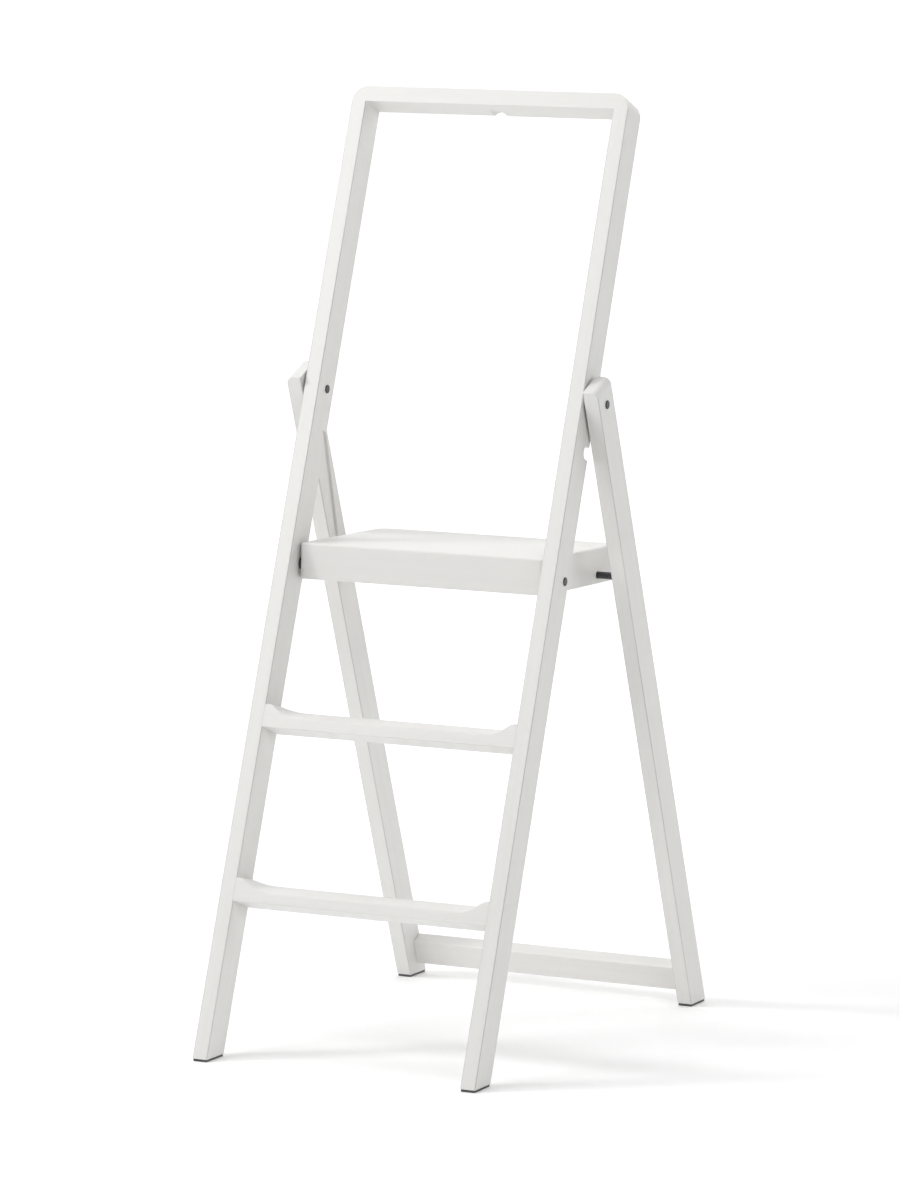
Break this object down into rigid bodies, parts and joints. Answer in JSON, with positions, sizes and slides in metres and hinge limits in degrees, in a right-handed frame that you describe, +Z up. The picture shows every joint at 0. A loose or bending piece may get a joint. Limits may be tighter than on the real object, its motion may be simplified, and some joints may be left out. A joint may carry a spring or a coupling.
{
  "type": "folding step ladder",
  "caption": "Painted wooden folding step ladder with planed steps, a platform that swings up as it folds, and a tall handle loop, standing open.",
  "frame": {"origin": "on the floor, at the middle of the opened ladder's box", "axes": "+X across the ladder to the right of someone who climbs it, -Y is the climbing side, +Z up"},
  "size_m": [0.473, 0.781, 1.3203],
  "materials": {
    "white_paint": "semi-matte white paint over beech, faint grain",
    "dark_steel": "blackened",
    "insert_zinc": "zinc plated",
    "washer_nylon": "black nylon",
    "pad_rubber": "dark grey, matte",
    "dowel_beech": "bare beech"
  },
  "bodies": {
    "front_frame": {"front_pad_left": "pad_rubber", "front_pad_right": "pad_rubber", "front_upright_left": "white_paint", "front_upright_right": "white_paint", "hinge_sleeve_left": "dark_steel", "hinge_sleeve_right": "dark_steel", "hinge_washer_left": "washer_nylon", "hinge_washer_right": "washer_nylon", "lower_step": "white_paint", "lower_step_dowel_left_1": "dowel_beech", "lower_step_dowel_left_2": "dowel_beech", "lower_step_dowel_right_1": "dowel_beech", "lower_step_dowel_right_2": "dowel_beech", "middle_step": "white_paint", "middle_step_dowel_left_1": "dowel_beech", "middle_step_dowel_left_2": "dowel_beech", "middle_step_dowel_right_1": "dowel_beech", "middle_step_dowel_right_2": "dowel_beech", "platform_bolt_left": "dark_steel", "platform_bolt_right": "dark_steel", "platform_washer_left": "washer_nylon", "platform_washer_right": "washer_nylon", "top_rail": "white_paint", "top_rail_dowel_left_1": "dowel_beech", "top_rail_dowel_left_2": "dowel_beech", "top_rail_dowel_right_1": "dowel_beech", "top_rail_dowel_right_2": "dowel_beech"},
    "platform": {"platform_front_rail": "white_paint", "platform_insert_left": "insert_zinc", "platform_insert_right": "insert_zinc", "platform_panel": "white_paint", "platform_rear_rail": "white_paint", "platform_rod": "dark_steel", "platform_side_rail_left": "white_paint", "platform_side_rail_right": "white_paint"},
    "rear_frame": {"crossbar_dowel_left_1": "dowel_beech", "crossbar_dowel_left_2": "dowel_beech", "crossbar_dowel_right_1": "dowel_beech", "crossbar_dowel_right_2": "dowel_beech", "hinge_bolt_left": "dark_steel", "hinge_bolt_right": "dark_steel", "rear_crossbar": "white_paint", "rear_leg_left": "white_paint", "rear_leg_right": "white_paint", "rear_pad_left": "pad_rubber", "rear_pad_right": "pad_rubber"}
  },
  "joints": [
    {"name": "platform_fold", "type": "hinge", "parent": "front_frame", "child": "platform", "pos_m": [0, -0.12761, 0.66006], "axis": [1, 0, 0], "range_deg": [0, 71]},
    {"name": "rear_frame_fold", "type": "hinge", "parent": "front_frame", "child": "rear_frame", "pos_m": [0, -0.05446, 0.89842], "axis": [1, 0, 0], "range_deg": [-42.6, 0]}
  ],
  "couplings": [
    {"joint": "platform_fold", "follows": "rear_frame_fold", "ratio": -1.6666}
  ]
}
